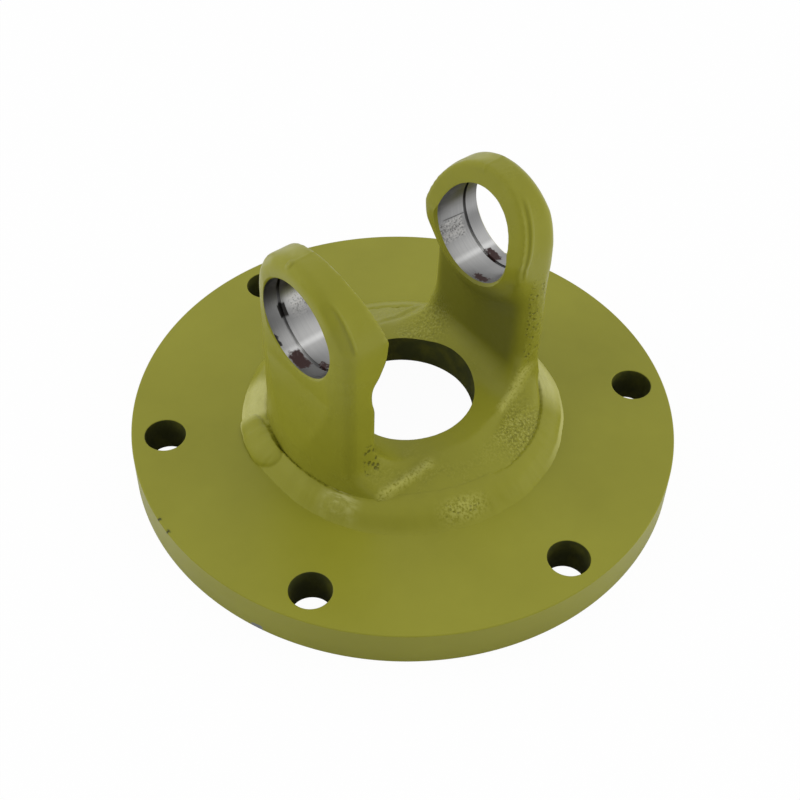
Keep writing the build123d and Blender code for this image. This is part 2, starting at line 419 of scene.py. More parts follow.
# %% [markdown]
# ## Worn places
#
# Where the die is worn, the steel runs softly from one face into the next: the inner side below each eye,
# the corners of the bosses' noses, and the far edge of each crown. Each place is a weight from 0 to 1. It
# goes into a vertex group, and a smoothing modifier works on that group alone.


# %% Soften the worn places
def below_eye(x, y, z):
    """The inner side of each ear below its eye, where the boss sinks into the shank."""
    lowest = np.where(x > 0, 32, 50)
    return (rise(np.abs(x), 35, 32) * rise(z, lowest, lowest + 5) * (1 - rise(z, 64, 70))
            * rise(from_seat_axis(y, z), 16.8, 17.8) * np.where(x > 0, 1, 1 - rise(np.abs(y), 18, 21)))


def nose(x, y, z):
    """The bosses' own noses, where flank, inner face and underside meet."""
    return (rise(np.abs(x), 35, 31) * rise(np.abs(y), 15, 17) * rise(z, 52, 57) * (1 - rise(z, 72, 78))
            * rise(from_seat_axis(y, z), 18.0, 19.5))


def far_edge(x, y, z):
    """The crown's edge on the far side of each eye."""
    return rise(y, 4, 8) * rise(z, 62, 68) * rise(from_seat_axis(y, z), 18.0, 19.5)


def soften(piece, name, weight, passes):
    """Smooth one region only: the weight of each point goes into a vertex group, in ten levels."""
    places, _ = points_of(piece)
    amounts = weight(*places.T)
    group = piece.vertex_groups.new(name=name)
    for level in np.linspace(0.1, 1.0, 10):
        chosen = np.nonzero(np.abs(amounts - level) <= 0.05)[0]
        group.add([int(k) for k in chosen], float(level), "REPLACE")
    apply_modifier(piece, "SMOOTH", factor=0.5, iterations=passes, vertex_group=name)
    print(f"softened {name}: {np.count_nonzero(amounts > 0.05)} points, {passes} passes")


soften(fork, "below_eye", below_eye, 320)
soften(fork, "nose", nose, 40)
soften(fork, "far_edge", far_edge, 14)

# %% [markdown]
# ## Machining the seats
#
# The bearing seats are bored after forging, so they are cut here with a turned tool: a circle is extruded
# along X and resized step by step, a wide ring at each snap-ring groove and a flare at each mouth. The
# tool's own bare-steel material goes over to the faces that it cuts.


# %% Cut the bearing seats and the web bore
OUTER_FLARE = 0.5 * MM
INNER_FLARE = 0.9 * MM
RUN_IN = 12 * MM
RUN_OUT = 4 * MM
WEB_TOOL_DEPTH = 60 * MM
WEB_TOOL_MIDDLE = (0, 0, 20 * MM)
FORK_SMOOTH_ANGLE = 38


def boring_tool(side):
    """A turned cutter for one ear: radii and places along X, from the inner mouth outwards."""
    steps = [
        (EYE_INNER_FACE - RUN_IN, SEAT_RADIUS + INNER_FLARE),
        (EYE_INNER_FACE, SEAT_RADIUS + INNER_FLARE),
        (EYE_INNER_FACE + INNER_FLARE, SEAT_RADIUS),
        (GROOVE_CENTRE - GROOVE_WIDTH / 2, SEAT_RADIUS),
        (GROOVE_CENTRE - GROOVE_WIDTH / 2, GROOVE_RADIUS),
        (GROOVE_CENTRE + GROOVE_WIDTH / 2, GROOVE_RADIUS),
        (GROOVE_CENTRE + GROOVE_WIDTH / 2, SEAT_RADIUS),
        (EYE_OUTER_FACE - OUTER_FLARE, SEAT_RADIUS),
        (EYE_OUTER_FACE + RUN_OUT, SEAT_RADIUS + OUTER_FLARE + RUN_OUT),
    ]
    first_place, first_radius = steps[0]
    bpy.ops.object.select_all(action="DESELECT")
    bpy.ops.mesh.primitive_circle_add(vertices=BORE_CORNERS, radius=first_radius, fill_type="NGON",
                                      location=(first_place, 0, SEAT_HEIGHT),
                                      rotation=(0, math.radians(90), 0))
    tool = set_home(bpy.context.object)
    bpy.ops.object.mode_set(mode="EDIT")
    bpy.ops.mesh.select_all(action="SELECT")
    for (place, radius), (next_place, next_radius) in zip(steps, steps[1:]):
        bpy.ops.mesh.extrude_region_move(TRANSFORM_OT_translate={"value": (next_place - place, 0, 0)})
        share = next_radius / radius
        bpy.ops.transform.resize(value=(1, share, share), center_override=(next_place, 0, SEAT_HEIGHT))
    bpy.ops.object.mode_set(mode="OBJECT")
    tool.scale.x = side
    set_home(tool)
    face_outwards(tool)
    tool.data.materials.append(bare_steel)
    tool.data.materials.append(forging_enamel)
    for face in tool.data.polygons:
        centre = abs(face.center.x)
        painted = centre < EYE_INNER_FACE + INNER_FLARE or centre > EYE_OUTER_FACE - OUTER_FLARE
        face.material_index = int(painted)
    return tool


fork.data.materials.append(forging_enamel)
web_tool = set_home(cylinder(WEB_BORE_RADIUS, WEB_TOOL_DEPTH, WEB_TOOL_MIDDLE, BORE_CORNERS))
web_tool.data.materials.append(hole_shade_enamel)
cut(fork, web_tool)
for side in (-1, 1):
    cut(fork, boring_tool(side))
smooth_by_angle(fork, FORK_SMOOTH_ANGLE)
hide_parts("yoke_forging")
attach(fork, "root")
print("forging:", len(fork.data.polygons), "faces, materials", [m.name for m in fork.data.materials])

# %% [markdown]
# ## The weld
#
# A fillet weld is a row of overlapping puddles. The stations say what the welder did at each angle: where
# the toe and the seam ran, how proud the crown is, how deep the crease against the fork stayed open, and
# how softly the toe meets the disc. Where the seam radius is small, the bead laps over the hub's shoulder.

# %% Stations of the weld
# Each station: azimuth, toe radius, seam radius, seam height, crown, crease depth, softness of the toe.
WELD_STATIONS = [
    (-178, 52.8, 45.0, 20.6, 0.3, 1.4, 0.2),
    (-168, 53.2, 45.0, 20.4, 0.6, 0.9, 0.4),
    (-154, 53.6, 44.9, 19.8, 1.1, 0.5, 0.6),
    (-140, 53.8, 43.4, 19.9, 0.9, 0.1, 0.8),
    (-122, 54.0, 42.0, 20.0, 0.8, 0.0, 1.0),
    (-106, 54.0, 42.0, 20.0, 0.9, 0.0, 1.0),
    (-92, 53.8, 42.6, 19.9, 0.9, 0.0, 0.9),
    (-80, 53.8, 43.4, 19.7, 0.9, 0.6, 0.8),
    (-62, 53.6, 44.2, 19.8, 1.0, 1.0, 0.4),
    (-45, 53.6, 44.6, 19.8, 1.2, 1.0, 0.1),
    (-30, 53.8, 44.9, 19.8, 1.3, 0.8, 0.0),
    (0, 53.2, 45.0, 19.4, 1.2, 0.3, 0.2),
    (40, 53.6, 44.0, 19.6, 1.1, 0.2, 0.5),
    (90, 53.3, 42.9, 19.8, 1.2, 0.4, 0.3),
    (135, 53.6, 44.6, 19.5, 1.4, 0.3, 0.0),
    (150, 53.9, 45.0, 19.3, 0.9, 0.3, 0.0),
    (163, 53.6, 45.0, 19.6, 0.4, 0.9, 0.0),
    (172, 52.9, 45.0, 20.3, 0.2, 2.1, 0.1),
]
print("weld stations:", len(WELD_STATIONS))

# %% [markdown]
# ## Spin the bead, then lay it
#
# A plain ring of points is spun round the hub first, and each point only stores its place across the
# bead in its radius, from 0 at the toe to 1 at the seam. Then every section is laid by the stations, with
# some wander in the toe and the fat lump of the start and stop on top.


# %% Spin the bead
WELD_STEPS = 1080
WELD_ROWS = 30
INDEX_RADIUS = 50


def make_weld():
    """A flat ring whose points keep their place across the bead in their radius."""
    across = [(INDEX_RADIUS - share, 1) for share in np.linspace(0, 1, WELD_ROWS)]
    outline = across + [(INDEX_RADIUS - 1, 0), (INDEX_RADIUS, 0)]
    mesh = bpy.data.meshes.new("weld_ring")
    mesh.from_pydata([(r * MM, 0, h * MM) for r, h in outline],
                     [(k, (k + 1) % len(outline)) for k in range(len(outline))], [])
    weld = bpy.data.objects.new("weld_ring", mesh)
    bpy.context.scene.collection.objects.link(weld)
    only(weld)
    bpy.ops.object.mode_set(mode="EDIT")
    bpy.ops.mesh.select_all(action="SELECT")
    bpy.ops.mesh.spin(steps=WELD_STEPS, angle=math.tau, center=(0, 0, 0), axis=(0, 0, 1))
    bpy.ops.mesh.select_all(action="SELECT")
    bpy.ops.mesh.remove_doubles(threshold=0.0001 * MM)
    bpy.ops.object.mode_set(mode="OBJECT")
    return weld


weld = make_weld()
print("plain ring:", len(weld.data.vertices), "points")

# %% Lay the bead
HIDDEN_DEPTH = 2.6
FOOT = DISC_TOP / MM - 0.3
BEAD_RADIUS = 50
NOISE_RING = 9
LUMP_ANGLE = 161.0
LUMP_HALF_LENGTH = 12.0
LUMP_HALF_WIDTH = 0.54
LUMP_HEIGHT = 1.7
LUMP_MIDDLE = 0.40
LUMP_SLANT = 0.017
LUMP_SQUARENESS = 2.6
BULGE_OUT = 0.50
BULGE_UP = 0.86
WELD_SMOOTH_ANGLE = 70


def lump_share(x, y, azimuth, share):
    """The start and stop lump: 1 on its back, 0 outside its frayed outline."""
    off = (azimuth - LUMP_ANGLE) * np.pi / 180 * BEAD_RADIUS
    middle = LUMP_MIDDLE + LUMP_SLANT * off
    reach = ((np.abs(off) / LUMP_HALF_LENGTH) ** LUMP_SQUARENESS
             + (np.abs(share - middle) / LUMP_HALF_WIDTH) ** LUMP_SQUARENESS)
    reach = reach + 0.24 * lumps(x, y, 0 * x, 4.5, 2.0) + 0.10 * lumps(x, y, 0 * x, 1.6, 6.0)
    return np.clip(1 - reach, 0, 1) ** 0.5


def lay_weld(weld):
    """Give every section of the ring its real shape."""
    places, _ = points_of(weld)
    x, y, z = places.T
    turn = np.arctan2(y, x)
    azimuth = np.degrees(turn)
    share = np.clip(INDEX_RADIUS - np.hypot(x, y), 0, 1)
    on_top = z > 0.5
    angles, *columns = zip(*WELD_STATIONS)
    toe, seam, top, crown, crease, soft = (np.interp(azimuth, angles, c, period=360) for c in columns)

    # The welder's hand: slow wander, swing and shiver along the bead.
    ring_x, ring_y = NOISE_RING * np.cos(turn), NOISE_RING * np.sin(turn)
    wander = lumps(ring_x, ring_y, 0 * x, 1.6, 3.0)
    swing = lumps(ring_x, ring_y, 0 * x, 0.7, 8.0)
    shiver = lumps(ring_x, ring_y, 0 * x, 0.25, 14.0)
    toe = toe + 0.30 * wander + 0.14 * swing + 0.10 * shiver
    top = top + 0.20 * lumps(ring_x, ring_y, 0 * x, 0.9, 21.0)
    crease = np.maximum(crease * (1.0 + 0.5 * swing + 0.7 * shiver), 0)

    # The bead's height over the straight line from toe to seam.
    across = np.sin(np.pi * share)
    puddle = azimuth * 1.1 + 6 * across + 3 * swing
    crown = crown * (1 - soft * (1 - rise(share, 0.0, 0.55)))
    lump = lump_share(x, y, azimuth, share)
    bulge = crown * across + LUMP_HEIGHT * lump + 0.14 * swing * across + 0.02 * np.cos(puddle) * across

    roll = rise(share, 0.86, 1.0)
    climb = share + 0.45 * soft * (rise(share, 0.0, 1.0) - share)
    radius = toe + (seam - toe) * share + BULGE_OUT * bulge
    height = FOOT + (top - FOOT) * climb + BULGE_UP * bulge - crease * roll
    radius = np.where(on_top, radius, np.where(share > 0.5, seam - HIDDEN_DEPTH, toe - HIDDEN_DEPTH))
    height = np.where(on_top, height, FOOT)
    move_points(weld, np.stack([radius * np.cos(turn), radius * np.sin(turn), height], axis=1))
    return face_outwards(weld)


lay_weld(weld)
weld.data.materials.append(weld_enamel)
smooth_by_angle(weld, WELD_SMOOTH_ANGLE)
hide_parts("weld_bead")
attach(weld, "root")
print("weld:", len(weld.data.polygons), "faces")

# %% [markdown]
# ## Shader maths as plain Python
#
# A pattern such as "bare where the noise is high and the edge is near" is easier to read as an expression
# than as a web of nodes. `Value` wraps one socket: the signs + - * / make Math nodes. `Graph.node` makes
# every other kind, and a number, a colour or a `Value` can go into each of its inputs.


# %% A socket that does sums
def sign(operation, swapped=False):
    """The method behind one of Python's signs: it makes a Math node of this operation."""
    def method(value, other):
        first, second = (other, value) if swapped else (value, other)
        return value.sum(operation, first, second)
    return method


class Value:
    """One shader socket. Its Python signs add the Math nodes that work them out."""

    __add__ = sign("ADD")
    __radd__ = sign("ADD", swapped=True)
    __sub__ = sign("SUBTRACT")
    __rsub__ = sign("SUBTRACT", swapped=True)
    __mul__ = sign("MULTIPLY")
    __rmul__ = sign("MULTIPLY", swapped=True)
    __truediv__ = sign("DIVIDE")
    __rtruediv__ = sign("DIVIDE", swapped=True)
    __pow__ = sign("POWER")
    least = sign("MINIMUM")
    most = sign("MAXIMUM")

    def __init__(self, graph, socket):
        self.graph = graph
        self.socket = socket

    def sum(self, operation, first, second=0.0):
        """One Math node."""
        return self.graph.node("ShaderNodeMath", {"operation": operation}, {0: first, 1: second})

    def absolute(self):
        """The value without its sign."""
        return self.sum("ABSOLUTE", self)

    def step(self, low, high):
        """A soft step: 0 at low and 1 at high. With low above high it falls instead."""
        return self.graph.node("ShaderNodeMapRange", {"interpolation_type": "SMOOTHSTEP"},
                               {0: self, 1: low, 2: high, 3: 0.0, 4: 1.0})

    def hill(self, centre, width):
        """1 at the centre, 0 a width away on either side."""
        return (self - centre).absolute().step(width, 0.0)


# %% A node tree and the finish of a material
class Graph:
    """A node tree, emptied, and one method that adds a node of any kind."""

    def __init__(self, tree):
        self.tree = tree
        self.tree.nodes.clear()

    def node(self, kind, settings=None, inputs=None, output=0):
        """Add a node: its settings first, then each input as a number, a colour or a Value."""
        made = self.tree.nodes.new(kind)
        for key, value in (settings or {}).items():
            setattr(made, key, value)
        for key, value in (inputs or {}).items():
            if isinstance(value, Value):
                self.tree.links.new(value.socket, made.inputs[key])
            else:
                made.inputs[key].default_value = value
        return Value(self, made.outputs[output]) if len(made.outputs) else None


class Finish(Graph):
    """The node tree of one material, with short ways to say what it is made of."""

    def __init__(self, material):
        super().__init__(material.node_tree)
        self.coordinates = self.node("ShaderNodeTexCoord", output="Object")
        self.millimetres = self.node("ShaderNodeVectorMath", {"operation": "SCALE"},
                                     {0: self.coordinates, "Scale": 1000.0})
        self.x = self.node("ShaderNodeSeparateXYZ", {}, {0: self.millimetres}, output="X")
        self.y = self.node("ShaderNodeSeparateXYZ", {}, {0: self.millimetres}, output="Y")
        self.z = self.node("ShaderNodeSeparateXYZ", {}, {0: self.millimetres}, output="Z")
        self.from_middle = (self.x * self.x + self.y * self.y) ** 0.5
        self.azimuth = self.turned(self.y, self.x)

    def turned(self, up, along):
        """The angle of a direction in degrees, from -180 to 180."""
        angle = self.node("ShaderNodeMath", {"operation": "ARCTAN2"}, {0: up, 1: along})
        return angle * (180 / math.pi)

    def noise(self, size, detail=3.0, roughness=0.55, seed=0.0, stretch=(1, 1, 1)):
        """Cloudy noise from 0 to 1, with features about size millimetres across."""
        place = self.node("ShaderNodeMapping", {}, {
            "Vector": self.millimetres, "Location": (seed, seed, seed),
            "Scale": tuple(s / size for s in stretch)})
        return self.node("ShaderNodeTexNoise", {}, {
            "Vector": place, "Scale": 1.0, "Detail": detail, "Roughness": roughness}, output="Fac")

    def ring_noise(self, along, across, seed=0.0):
        """Noise drawn out round the Z axis: along and across are the sizes of its streaks in millimetres."""
        scale = BEAD_RADIUS / (along * self.from_middle)
        place = self.node("ShaderNodeCombineXYZ", {}, {
            0: self.x * scale + seed, 1: self.y * scale, 2: (self.from_middle + self.z) / across})
        return self.node("ShaderNodeTexNoise", {}, {
            "Vector": place, "Scale": 1.0, "Detail": 3.0, "Roughness": 0.55}, output="Fac")

    def cells(self, size, seed=0.0):
        """Distance to the nearest of many scattered points, about size millimetres apart."""
        place = self.node("ShaderNodeMapping", {}, {
            "Vector": self.millimetres, "Location": (seed, seed, seed), "Scale": (1 / size,) * 3})
        return self.node("ShaderNodeTexVoronoi", {"feature": "F1"},
                         {"Vector": place, "Scale": 1.0}, output="Distance")

    def mix(self, share, first, second):
        """Blend two colours."""
        colours = {key: value if isinstance(value, Value) else (*value, 1.0)
                   for key, value in ((6, first), (7, second))}
        return self.node("ShaderNodeMix", {"data_type": "RGBA"}, {0: share, **colours}, output=2)

    def bump(self, height, distance, below=None):
        """Bend the normal by a height map of 0 to 1 that stands distance millimetres high."""
        inputs = {"Height": height, "Distance": distance * MM, "Strength": 1.0}
        if below is not None:
            inputs["Normal"] = below
        return self.node("ShaderNodeBump", {}, inputs)

    def done(self, colour, roughness, normal, metallic=0.0, specular=0.5):
        """Close the material with one Principled shader."""
        shader = self.node("ShaderNodeBsdfPrincipled", {}, {
            "Base Color": colour, "Roughness": roughness, "Normal": normal, "Metallic": metallic,
            "Specular IOR Level": specular})
        self.node("ShaderNodeOutputMaterial", {}, {"Surface": shader})


# %% [markdown]
# ## Olive enamel
#
# One paint covers everything, sprayed thick over three different metals. The recipe is shared: a slightly
# uneven olive, an eggshell gloss and the faint orange peel of a quick coat. What differs is the metal
# below: nearly smooth on the turned plate, pitted on the forging and streaked on the weld.
#
# The numbers in a `step` or a `hill` are places in the frame, in millimetres or degrees, or else levels
# of a noise, which runs from 0 to 1.

# %% Mix the enamel
ENAMEL = (0.243, 0.239, 0.021)
ENAMEL_THIN = (0.231, 0.227, 0.019)
ENAMEL_FULL = (0.255, 0.252, 0.023)
# The pale tone is a painted highlight, and the deep one is painted shade.
ENAMEL_PAINTED_HIGHLIGHT = (0.400, 0.390, 0.085)
ENAMEL_PAINTED_SHADE = (0.120, 0.118, 0.012)
# The frost tone is a painted highlight.
ENAMEL_PAINTED_SHEEN = (0.48, 0.47, 0.17)
ENAMEL_SPECULAR = 0.22
# Dark marks on the rim, and painted shade in pits.
DIRT_AND_PIT_SHADE = (0.030, 0.030, 0.008)


def enamel_colour(finish):
    """The paint's colour, a little thicker here and thinner there."""
    cloud = finish.noise(38.0, detail=3.0, seed=2.0)
    mottle = finish.noise(5.0, detail=3.0, seed=7.0)
    colour = finish.mix(cloud.step(0.3, 0.7), ENAMEL_THIN, ENAMEL_FULL)
    return finish.mix(mottle.step(0.35, 0.65) * 0.5, colour, ENAMEL)


def enamel_gloss(finish):
    """Roughness of the paint film."""
    return 0.27 + 0.10 * finish.noise(9.0, seed=4.0) + 0.05 * finish.noise(1.2, seed=9.0)


def grain_light_and_shade(finish, colour, grit, amount):
    """Rough casting skin under paint: a painted highlight on its tips and painted shade in its hollows."""
    colour = finish.mix(grit.step(0.50, 0.68) * amount, colour, ENAMEL_PAINTED_HIGHLIGHT)
    return finish.mix(grit.step(0.50, 0.34) * amount, colour, ENAMEL_PAINTED_SHADE)


def print_nodes(material):
    """Say how many nodes the finish took."""
    print(f"{material.name}: {len(material.node_tree.nodes)} nodes")


# %% Paint the disc
CHIP = (0.16, 0.165, 0.17)
RIM = (88.6, 89.3)
PLATE_WAVE = 0.03
PLATE_PEEL = 0.008


def paint_plate():
    """Turned plate below the paint, with two dark nicks and one chip at the rim."""
    finish = Finish(plate_enamel)
    colour = enamel_colour(finish)
    edge = finish.noise(1.5, detail=4.0, seed=15.0) * 1.6 - 0.8
    ragged_azimuth = finish.azimuth + edge
    rim = finish.from_middle.step(*RIM)
    nick_high = ragged_azimuth.hill(173.0, 0.6) * finish.z.step(12.6, 13.1)
    nick_low = ragged_azimuth.hill(176.6, 0.6) * finish.z.step(12.3, 12.9)
    chip = ragged_azimuth.hill(-158.6, 2.2) * (finish.z + edge).step(2.4, 1.6)
    colour = finish.mix((nick_high + nick_low) * rim, colour, DIRT_AND_PIT_SHADE)
    colour = finish.mix((chip * rim).step(0.35, 0.5), colour, CHIP)
    normal = finish.bump(finish.noise(16.0, detail=1.0, seed=3.0), PLATE_WAVE)
    normal = finish.bump(finish.noise(1.1, detail=2.0, seed=1.0), PLATE_PEEL, below=normal)
    finish.done(colour, enamel_gloss(finish), normal, specular=ENAMEL_SPECULAR)


paint_plate()
print_nodes(plate_enamel)

# %% [markdown]
# ## Paint on the forging
#
# Four things show through the coat: the lines on the flanks and a faint crest along each crown, the grain
# of the front shoulder and the ears' roots, the rough lips, and pits on the flanks. The grain gets painted
# highlights on its tips and painted shade in its hollows, the lips a pale painted highlight, the pits
# painted shade, and each crown a painted highlight beside its crest.
# The throat between the ears gets painted shade: its enamel is darkened there.


# %% Lines on the flanks
# A step in X over these places is 1 on the one ear and 0 on the other.
LEFT_EAR = (0.5, -0.5)
RIGHT_EAR = (-0.5, 0.5)


def flank_lines(finish):
    """Height in millimetres of the outer lines on the left ear, the inner ones on the right, the crests."""
    up = finish.z - SEAT_HEIGHT / MM
    out = finish.x.absolute()
    slope = finish.turned(up, finish.y.absolute())
    from_seat = (finish.y * finish.y + up * up) ** 0.5
    line = OUTER_LINE + OUTER_LINE_DRIFT * slope
    outer = slope.step(58.0, 44.0) * slope.step(6.0, 16.0) * from_seat.step(19.6, 20.8)
    outer = outer * (0.30 * out.hill(line, 1.1) - 0.36 * out.hill(line + 1.7, 1.9))
    lean = EYE_INNER_FACE / MM + up.most(0.0) * INNER_FACE_LEAN
    inner = slope.step(62.0, 44.0) * slope.step(-14.0, -2.0) * from_seat.step(21.2, 22.2)
    inner = inner * (0.24 * out.hill(lean + 3.2, 1.2) - 0.22 * out.hill(lean + 1.8, 1.4))
    crown = from_seat.step(19.6, 21.0) * up.step(12.0, 17.0)
    crest = 0.10 * finish.y.step(1.2, 3.2) * finish.y.step(12.0, 4.0) + 0.05 * finish.y.hill(2.9, 0.9)
    tip = 0.5 * finish.y.hill(3.6, 1.5) * out.hill(40.4, 1.8)
    return (outer * finish.x.step(*LEFT_EAR) + inner * finish.x.step(*RIGHT_EAR)
            + crown * (crest * out.step(41.5, 40.0) + tip))


# %% Rough places
def web_lip_grit_and_highlight(finish):
    """The stretches of the web's lips that are rough and get a pale painted highlight: one in front of each
    ear.
    """
    left = (finish.y + 29.6).hill(0.0, 2.6) * finish.x.hill(-24.0, 14.0).step(0.0, 0.3)
    left = left * finish.z.step(18.8, 20.0) * finish.z.step(26.0, 24.5)
    right = (finish.y + 26.4 - 0.27 * (finish.x - 18.3)).hill(0.0, 2.2)
    right = right * finish.x.hill(27.0, 12.0).step(0.0, 0.3)
    right = right * finish.z.step(33.0, 30.0) * finish.z.step(20.5, 22.0)
    return left.most(right)


def grain(finish, patch, lips, tall_marks):
    """How rough the skin is: 0 where it is smooth, above 1 on the front shoulder."""
    out = finish.x.absolute()
    low_down = finish.z.step(31.0, 27.0)
    shoulder = finish.from_middle.step(33.0, 36.0) * low_down * finish.z.step(17.0, 18.5)
    front_shoulder = finish.azimuth.hill(-62.0, 24.0) * shoulder
    root = out.step(10.0, 17.0) * out.step(36.0, 29.0)
    root = root * finish.y.hill(16.0, 12.0) * finish.z.step(42.0, 30.0)
    rough = (front_shoulder * 1.8).most(shoulder * patch.step(0.35, 0.6) * 0.4).most(root * 1.2)
    rough = rough.most(lips * 0.7).most(patch.step(0.52, 0.68) * 0.20)
    return rough.most(tall_marks * 0.6).least(1.5)


# %% Paint the forging
# Painted shade for the throat between the ears.
THROAT_PAINTED_SHADE = (0.090, 0.090, 0.010)
THROAT_SHADE_SHARE = 0.72
# Shares of the painted highlights on the crowns and on the lips.
CROWN_HIGHLIGHT_SHARE = 0.32
LIP_HIGHLIGHT_SHARE = 0.85
FORGING_WAVE = 0.10
FORGING_PEEL = 0.022
GRIT_HEIGHT = 0.34
DIMPLE_DEPTH = 0.25


def paint_forging():
    """A hammered, pitted skin below the paint."""
    finish = Finish(forging_enamel)
    patch = finish.noise(9.0, detail=2.0, seed=6.0)
    grit = finish.noise(0.85, detail=2.0, roughness=0.6, seed=5.0)
    side_y = finish.y.absolute()
    out = finish.x.absolute()

    on_flank = side_y.step(20.5, 21.8)
    foot_marks = finish.x.hill(-31.8, 4.0).step(0.0, 0.4) * finish.z.hill(31.8, 7.4).step(0.0, 0.3)
    tall_marks = finish.x.hill(35.0, 5.0).step(0.0, 0.5) * finish.z.hill(50.0, 25.0).step(0.0, 0.4)
    foot_dots = finish.cells(1.9, seed=2.0).step(0.42, 0.26) * foot_marks
    tall_dots = finish.cells(1.5, seed=6.0).step(0.34, 0.16) * tall_marks * 0.7
    dimples = (foot_dots + tall_dots) * on_flank
    lips = web_lip_grit_and_highlight(finish)
    rough = grain(finish, patch, lips, tall_marks * on_flank)

    normal = finish.bump(flank_lines(finish), 1.0)
    normal = finish.bump(finish.noise(8.0, detail=2.0, seed=3.0), FORGING_WAVE, below=normal)
    normal = finish.bump(finish.noise(1.7, detail=2.0, seed=1.0), FORGING_PEEL, below=normal)
    normal = finish.bump(grit * rough, GRIT_HEIGHT, below=normal)
    normal = finish.bump(1.0 - dimples, DIMPLE_DEPTH, below=normal)

    colour = grain_light_and_shade(finish, enamel_colour(finish), grit, rough * 0.40 * (1.0 - 0.7 * lips))
    # Painted highlight: the rough lips are paled on the tips of their grit.
    colour = finish.mix(lips * grit.step(0.30, 0.56) * LIP_HIGHLIGHT_SHARE, colour, ENAMEL_PAINTED_HIGHLIGHT)
    # Painted shade: the enamel in the throat between the ears is darkened.
    throat_shade = out.step(31.8, 30.2) * finish.z.step(66.0, 54.0)
    throat_shade = throat_shade * finish.z.step(24.5, 34.0) * side_y.step(22.0, 16.0)
    colour = finish.mix(throat_shade * THROAT_SHADE_SHARE, colour, THROAT_PAINTED_SHADE)
    # Painted highlight: a pale patch on each crown beside its crest.
    crown_highlight = finish.z.step(92.0, 94.5) * finish.y.step(1.8, 3.6) * finish.y.step(14.0, 8.0)
    crown_highlight = crown_highlight * (out + 0.5 * finish.y).hill(40.5, 5.5)
    colour = finish.mix(crown_highlight * patch.step(0.30, 0.60) * CROWN_HIGHLIGHT_SHARE, colour, ENAMEL_PAINTED_SHEEN)
    # Painted shade: the dimples on the flanks are darkened.
    colour = finish.mix(dimples * 0.6, colour, DIRT_AND_PIT_SHADE)
    finish.done(colour, enamel_gloss(finish), normal, specular=ENAMEL_SPECULAR)


paint_forging()
print_nodes(forging_enamel)

# %% [markdown]
# ## Paint on the weld and in the holes
#
# The bead is streaked along its run and rough in a few places. Painted highlights lie on it at the left, at
# the front, at both ends beside the ears and along the toe. Inside the holes the walls are painted dark as
# shade, under a dull mist of paint.


# %% Paint the weld
STREAK_HEIGHT = 0.20
WELD_GRIT = 0.24
PIT_DEPTH = 0.20
# Share of the painted highlight along the toe.
TOE_HIGHLIGHT_SHARE = 0.8


def paint_weld():
    """A streaky bead whose rough patches, ends and toe carry painted highlights."""
    finish = Finish(weld_enamel)
    streak = finish.ring_noise(7.0, 0.8, seed=8.0)
    grit = finish.noise(0.9, detail=2.0, seed=5.0)
    pits = finish.cells(1.5, seed=4.0).step(0.34, 0.14)

    crown = finish.from_middle.hill(48.6, 4.6)
    # The front and left patches are rough, and both carry a painted highlight.
    front = finish.azimuth.hill(-107.0, 13.0) * crown
    left = finish.azimuth.hill(-154.0, 10.0) * finish.from_middle.hill(48.4, 6.0)
    left_end_highlight = finish.azimuth.step(126.0, 136.0) * finish.azimuth.step(153.0, 148.0)
    right_end_highlight = finish.azimuth.step(-46.0, -30.0) * finish.azimuth.step(-6.0, -14.0)
    end_streaks_and_highlight = left_end_highlight.most(right_end_highlight)
    toe_highlight_places = finish.azimuth.hill(145.0, 18.0).most(finish.azimuth.hill(-44.0, 28.0))
    toe_highlight = finish.z.step(15.0, 14.2) * toe_highlight_places
    rough = front.most(left * 0.6).most(end_streaks_and_highlight * 0.7)

    normal = finish.bump(streak * (0.10 + left * 0.8 + end_streaks_and_highlight * 0.5), STREAK_HEIGHT)
    normal = finish.bump(grit * rough, WELD_GRIT, below=normal)
    normal = finish.bump(1.0 - pits * front, PIT_DEPTH, below=normal)
    colour = grain_light_and_shade(finish, enamel_colour(finish), grit, rough * 0.30)
    # Painted highlights: the left patch, the front patch, both ends and the toe line are paled.
    colour = finish.mix(left * (0.15 + 0.85 * streak.step(0.36, 0.58)), colour, ENAMEL_PAINTED_SHEEN)
    colour = finish.mix(front * grit.step(0.34, 0.60) * 0.80, colour, ENAMEL_PAINTED_HIGHLIGHT)
    colour = finish.mix(end_streaks_and_highlight * (0.50 + 0.50 * streak), colour, ENAMEL_PAINTED_SHEEN)
    colour = finish.mix(toe_highlight * TOE_HIGHLIGHT_SHARE, colour, ENAMEL_PAINTED_SHEEN)
    # Painted shade: the pits of the front patch are darkened.
    colour = finish.mix(pits * front * 0.35, colour, DIRT_AND_PIT_SHADE)
    finish.done(colour, enamel_gloss(finish) - 0.03, normal, specular=ENAMEL_SPECULAR)


paint_weld()
print_nodes(weld_enamel)

# %% Paint the holes
# Painted shade for the walls of the holes.
HOLE_PAINTED_SHADE = (0.046, 0.050, 0.012)
HOLE_SPECULAR = 0.12


def paint_hole_shade():
    """Painted shade: dark walls under a thin dull mist of paint."""
    finish = Finish(hole_shade_enamel)
    mist = finish.noise(6.0, detail=3.0, seed=14.0)
    colour = finish.mix(mist.step(0.4, 0.7) * 0.4, HOLE_PAINTED_SHADE, ENAMEL_PAINTED_SHADE)
    normal = finish.bump(finish.noise(1.2, detail=2.0, seed=11.0), 0.02)
    finish.done(colour, 0.62 + 0.1 * mist, normal, specular=HOLE_SPECULAR)


paint_hole_shade()
print_nodes(hole_shade_enamel)

# %% [markdown]
# ## Bare steel
#
# The seats are bored to size after painting, so they are the only bright metal. Fine rings from the tool
# run round the bore, and brown stains and dark smears of old grease sit in patches. Angles are measured
# round the seat's axis, and the colour of the steel and the stains on it are worked out one by one.


